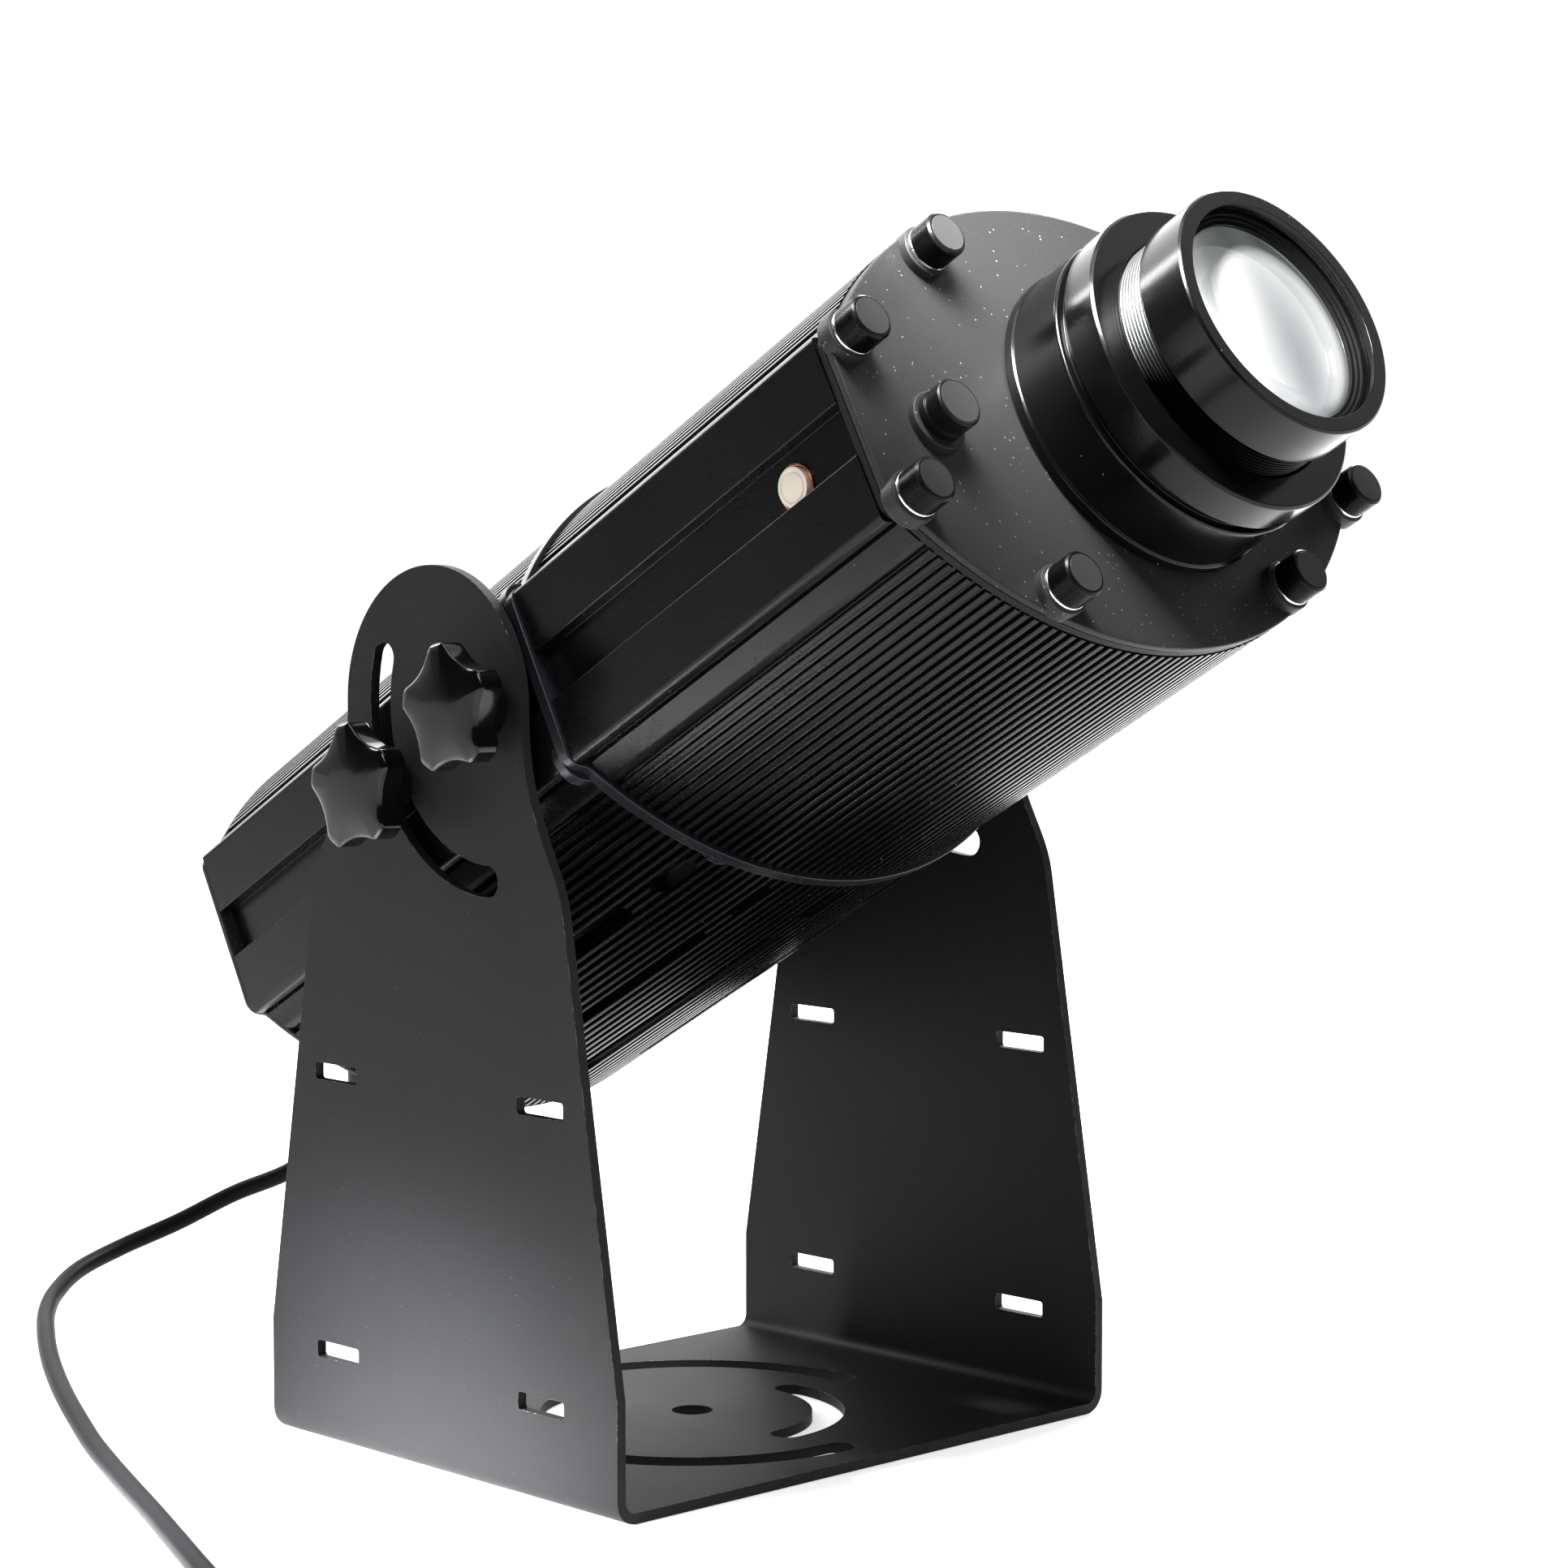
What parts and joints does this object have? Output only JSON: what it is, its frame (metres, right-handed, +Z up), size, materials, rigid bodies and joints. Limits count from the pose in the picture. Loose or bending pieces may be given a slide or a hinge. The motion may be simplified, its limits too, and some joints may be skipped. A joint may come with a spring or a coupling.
{
  "type": "gobo projector",
  "caption": "Projector that throws a turning cut image through a focusing lens, tilting in a U-shaped yoke that bolts to a clamp or stands on a floor.",
  "frame": {"origin": "middle of the clamp hole in the yoke's base, on the base's underside", "axes": "+Z up from the base, X across the yoke along the tilt axis, and the lens looks towards -Y"},
  "size_m": [0.5528, 0.7005, 0.4723],
  "materials": {
    "powder_black": "black powder coat on steel, fine texture, worn at the edges",
    "plate_black": "aluminium plate, fine-grained satin black",
    "anodised_black": "black anodised aluminium, satin",
    "black_plastic": "glossy black moulded plastic",
    "rubber": "matt black rubber",
    "steel": "bright steel",
    "aluminium": "bare machined aluminium",
    "copper": "copper coloured washer",
    "brass": "machined brass",
    "glass": "coated optical glass",
    "white_plastic": "white ceramic-filled board",
    "board": "green circuit board"
  },
  "bodies": {
    "yoke": {"yoke_bracket": "powder_black", "power_cord": "rubber", "cord_coil": "rubber", "plug_body": "rubber", "plug_pin_1": "steel", "plug_pin_2": "steel"},
    "head": {"front_housing": "anodised_black", "rear_housing": "anodised_black", "middle_flange": "anodised_black", "front_gasket": "rubber", "front_plate": "plate_black", "rear_plate": "plate_black", "control_board": "board", "lens_base": "anodised_black", "lens_collar": "anodised_black", "heat_sink": "aluminium", "led_module": "white_plastic", "condenser_holder": "anodised_black", "rear_condenser_lens": "glass", "front_condenser_lens": "glass", "gobo_carrier": "aluminium", "gobo_motor": "steel", "fan_frame": "black_plastic", "power_supply": "aluminium", "breather_plug": "steel", "breather_seal": "copper", "left_pivot_spacer": "black_plastic", "left_lock_spacer": "black_plastic", "right_pivot_spacer": "black_plastic", "right_lock_spacer": "black_plastic", "cable_gland": "black_plastic", "gland_nut": "black_plastic", "cord_guard": "rubber"},
    "left_pivot_star": {"left_pivot_knob": "black_plastic", "left_pivot_stud": "steel"},
    "left_lock_star": {"left_lock_knob": "black_plastic", "left_lock_stud": "steel"},
    "right_pivot_star": {"right_pivot_knob": "black_plastic", "right_pivot_stud": "steel"},
    "right_lock_star": {"right_lock_knob": "black_plastic", "right_lock_stud": "steel"},
    "screw_1": {"thumb_screw_1": "anodised_black"},
    "screw_2": {"thumb_screw_2": "anodised_black"},
    "screw_3": {"thumb_screw_3": "anodised_black"},
    "screw_4": {"thumb_screw_4": "anodised_black"},
    "screw_5": {"thumb_screw_5": "anodised_black"},
    "screw_6": {"thumb_screw_6": "anodised_black"},
    "screw_7": {"thumb_screw_7": "anodised_black"},
    "screw_8": {"thumb_screw_8": "anodised_black"},
    "speed_control": {"speed_knob": "black_plastic"},
    "focus_glass": {"front_lens": "glass", "rear_lens": "glass"},
    "focus_barrel": {"focus_tube": "aluminium", "lens_barrel": "anodised_black", "lens_ring": "anodised_black"},
    "gobo": {"gobo_gear": "brass", "gobo_disc": "glass", "gobo_ring": "steel"},
    "pinion": {"motor_pinion": "brass"},
    "fan": {"fan_rotor": "black_plastic"}
  },
  "joints": [
    {"name": "head_tilt", "type": "hinge", "parent": "yoke", "child": "head", "pos_m": [0, -0.033, 0.2907], "axis": [-1, 0, 0], "range_deg": [-44, 60]},
    {"name": "left_pivot_knob_turn", "type": "hinge", "parent": "head", "child": "left_pivot_star", "pos_m": [-0.14, -0.033, 0.2907], "axis": [-1, 0, 0], "range_deg": [0, 360]},
    {"name": "left_lock_knob_turn", "type": "hinge", "parent": "head", "child": "left_lock_star", "pos_m": [-0.14, 0.02298, 0.25967], "axis": [-1, 0, 0], "range_deg": [0, 360]},
    {"name": "right_pivot_knob_turn", "type": "hinge", "parent": "head", "child": "right_pivot_star", "pos_m": [0.14, -0.033, 0.2907], "axis": [1, 0, 0], "range_deg": [0, 360]},
    {"name": "right_lock_knob_turn", "type": "hinge", "parent": "head", "child": "right_lock_star", "pos_m": [0.14, 0.02298, 0.25967], "axis": [1, 0, 0], "range_deg": [0, 360]},
    {"name": "thumb_screw_1_turn", "type": "hinge", "parent": "head", "child": "screw_1", "pos_m": [-0.0599, -0.25314, 0.33703], "axis": [0, -0.8746, 0.4848], "range_deg": [0, 360]},
    {"name": "thumb_screw_2_turn", "type": "hinge", "parent": "head", "child": "screw_2", "pos_m": [-0.1136, -0.23593, 0.36808], "axis": [0, -0.8746, 0.4848], "range_deg": [0, 360]},
    {"name": "thumb_screw_3_turn", "type": "hinge", "parent": "head", "child": "screw_3", "pos_m": [-0.0599, -0.18895, 0.45283], "axis": [0, -0.8746, 0.4848], "range_deg": [0, 360]},
    {"name": "thumb_screw_4_turn", "type": "hinge", "parent": "head", "child": "screw_4", "pos_m": [-0.1136, -0.20616, 0.42179], "axis": [0, -0.8746, 0.4848], "range_deg": [0, 360]},
    {"name": "thumb_screw_5_turn", "type": "hinge", "parent": "head", "child": "screw_5", "pos_m": [0.0599, -0.25314, 0.33703], "axis": [0, -0.8746, 0.4848], "range_deg": [0, 360]},
    {"name": "thumb_screw_6_turn", "type": "hinge", "parent": "head", "child": "screw_6", "pos_m": [0.1136, -0.23593, 0.36808], "axis": [0, -0.8746, 0.4848], "range_deg": [0, 360]},
    {"name": "thumb_screw_7_turn", "type": "hinge", "parent": "head", "child": "screw_7", "pos_m": [0.0599, -0.18895, 0.45283], "axis": [0, -0.8746, 0.4848], "range_deg": [0, 360]},
    {"name": "thumb_screw_8_turn", "type": "hinge", "parent": "head", "child": "screw_8", "pos_m": [0.1136, -0.20616, 0.42179], "axis": [0, -0.8746, 0.4848], "range_deg": [0, 360]},
    {"name": "speed_knob_turn", "type": "hinge", "parent": "head", "child": "speed_control", "pos_m": [-0.0869, -0.22172, 0.39371], "axis": [0, -0.8746, 0.4848], "range_deg": [-150, 150]},
    {"name": "focus_travel", "type": "slide", "parent": "head", "child": "focus_glass", "axis": [0, -0.8746, 0.4848], "range_m": [-0.0082, 0.0082]},
    {"name": "focus_turn", "type": "hinge", "parent": "focus_glass", "child": "focus_barrel", "pos_m": [0.0169, -0.26861, 0.42256], "axis": [0, -0.8746, 0.4848], "range_deg": [-1440, 1440]},
    {"name": "gobo_spin", "type": "hinge", "parent": "head", "child": "gobo", "pos_m": [0.0169, -0.12518, 0.34305], "axis": [0, -0.8746, 0.4848], "continuous": true},
    {"name": "pinion_spin", "type": "hinge", "parent": "head", "child": "pinion", "pos_m": [-0.0391, -0.12518, 0.34305], "axis": [0, -0.8746, 0.4848], "continuous": true},
    {"name": "fan_spin", "type": "hinge", "parent": "head", "child": "fan", "pos_m": [0.0169, 0.03313, 0.2553], "axis": [0, -0.8746, 0.4848], "continuous": true}
  ],
  "couplings": [
    {"joint": "focus_travel", "follows": "focus_turn", "m_per_rad": 0.00031831},
    {"joint": "pinion_spin", "follows": "gobo_spin", "ratio": -4}
  ]
}
